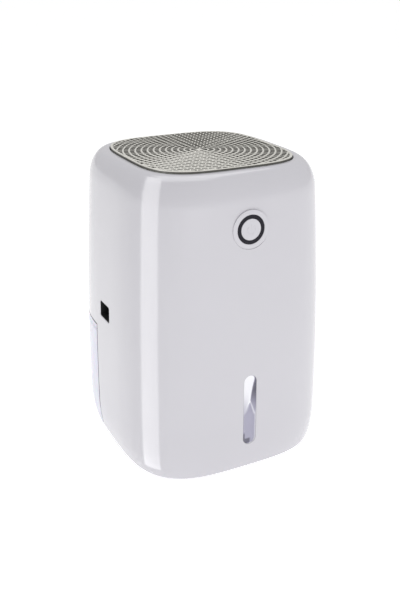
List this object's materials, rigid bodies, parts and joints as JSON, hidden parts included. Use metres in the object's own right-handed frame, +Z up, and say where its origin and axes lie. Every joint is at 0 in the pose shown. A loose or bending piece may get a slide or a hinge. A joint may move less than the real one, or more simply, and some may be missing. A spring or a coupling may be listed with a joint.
{
  "type": "dehumidifier",
  "caption": "Small desktop dehumidifier with a soft square casing, round-patterned top grille, front push button and level window, side power socket, and a rear slide-out water tank.",
  "frame": {"origin": "centre of the footprint, on the floor", "axes": "+Z up, -Y is the front with the button and the window, -X is the side with the power inlet"},
  "size_m": [0.153, 0.158, 0.22],
  "materials": {
    "shell": "smooth gloss, cool white",
    "grille": "satin champagne grey",
    "grille_band": "matte",
    "base": "satin",
    "rubber": "matte",
    "screw_steel": "zinc plated",
    "cap": "gloss",
    "ring": "gloss, dark",
    "black_plastic": "matte",
    "inner_plastic": "matte moulded",
    "board": "solder mask",
    "board_part": "mixed small parts",
    "led": "clear lens",
    "window": "tinted clear",
    "tank": "translucent, pale lavender",
    "contact": "nickel plated contact",
    "steel": "ground",
    "foam_float": "closed-cell foam",
    "magnet": "nickel plated",
    "aluminium": "extruded",
    "ceramic": "white ceramic",
    "foam": "open foam",
    "nylon": "nylon",
    "bronze": "sintered bronze",
    "copper": "enamelled winding",
    "lead_dark": "insulated wire",
    "lead_light": "insulated wire"
  },
  "bodies": {
    "housing": {"casing": "shell", "rear_cover": "shell", "top_grille": "grille", "grille_rim": "grille_band", "base_plate": "base", "rubber_feet": "rubber", "base_screws": "screw_steel", "rear_screws": "screw_steel", "button_guide": "inner_plastic", "tact_switch": "black_plastic", "button_board": "board", "status_leds": "led", "level_window": "window", "socket_recess": "black_plastic", "dc_socket": "black_plastic", "dc_pin": "contact", "drip_tray": "inner_plastic", "level_sensor": "black_plastic", "hot_sink": "aluminium", "peltier_module": "ceramic", "foam_gasket": "foam", "cold_sink": "aluminium", "clamp_screws": "screw_steel", "clamp_washers": "nylon", "air_duct": "inner_plastic", "fan_plate": "inner_plastic", "fan_frame": "black_plastic", "fan_bearing": "bronze", "fan_stator": "copper", "fan_screws": "screw_steel", "control_board": "board", "board_parts": "board_part", "board_screws": "screw_steel", "fan_lead": "lead_dark", "peltier_leads": "lead_dark", "button_lead": "lead_light", "sensor_lead": "lead_light", "power_lead": "lead_dark"},
    "push_button": {"power_button": "cap", "button_ring": "ring", "switch_plunger": "black_plastic"},
    "tank": {"water_tank": "tank", "tank_lid": "tank", "float_bracket": "inner_plastic", "float_pin": "steel"},
    "float_arm": {"tank_float": "foam_float", "float_magnet": "magnet"},
    "rotor": {"fan_rotor": "black_plastic", "fan_shaft": "steel", "fan_magnet": "magnet"}
  },
  "joints": [
    {"name": "button_press", "type": "slide", "parent": "housing", "child": "push_button", "axis": [0, 1, 0], "range_m": [0, 0.0006], "stiffness_N_per_m": 1500, "springref_m": -0.0006},
    {"name": "tank_draw", "type": "slide", "parent": "housing", "child": "tank", "axis": [0, 1, 0], "range_m": [0, 0.16]},
    {"name": "float_rise", "type": "hinge", "parent": "tank", "child": "float_arm", "pos_m": [0.052, 0.034, 0.076], "axis": [1, 0, 0], "range_deg": [0, 18]},
    {"name": "fan_spin", "type": "hinge", "parent": "housing", "child": "rotor", "pos_m": [0, 0, 0.191], "axis": [0, 0, 1], "continuous": true}
  ]
}
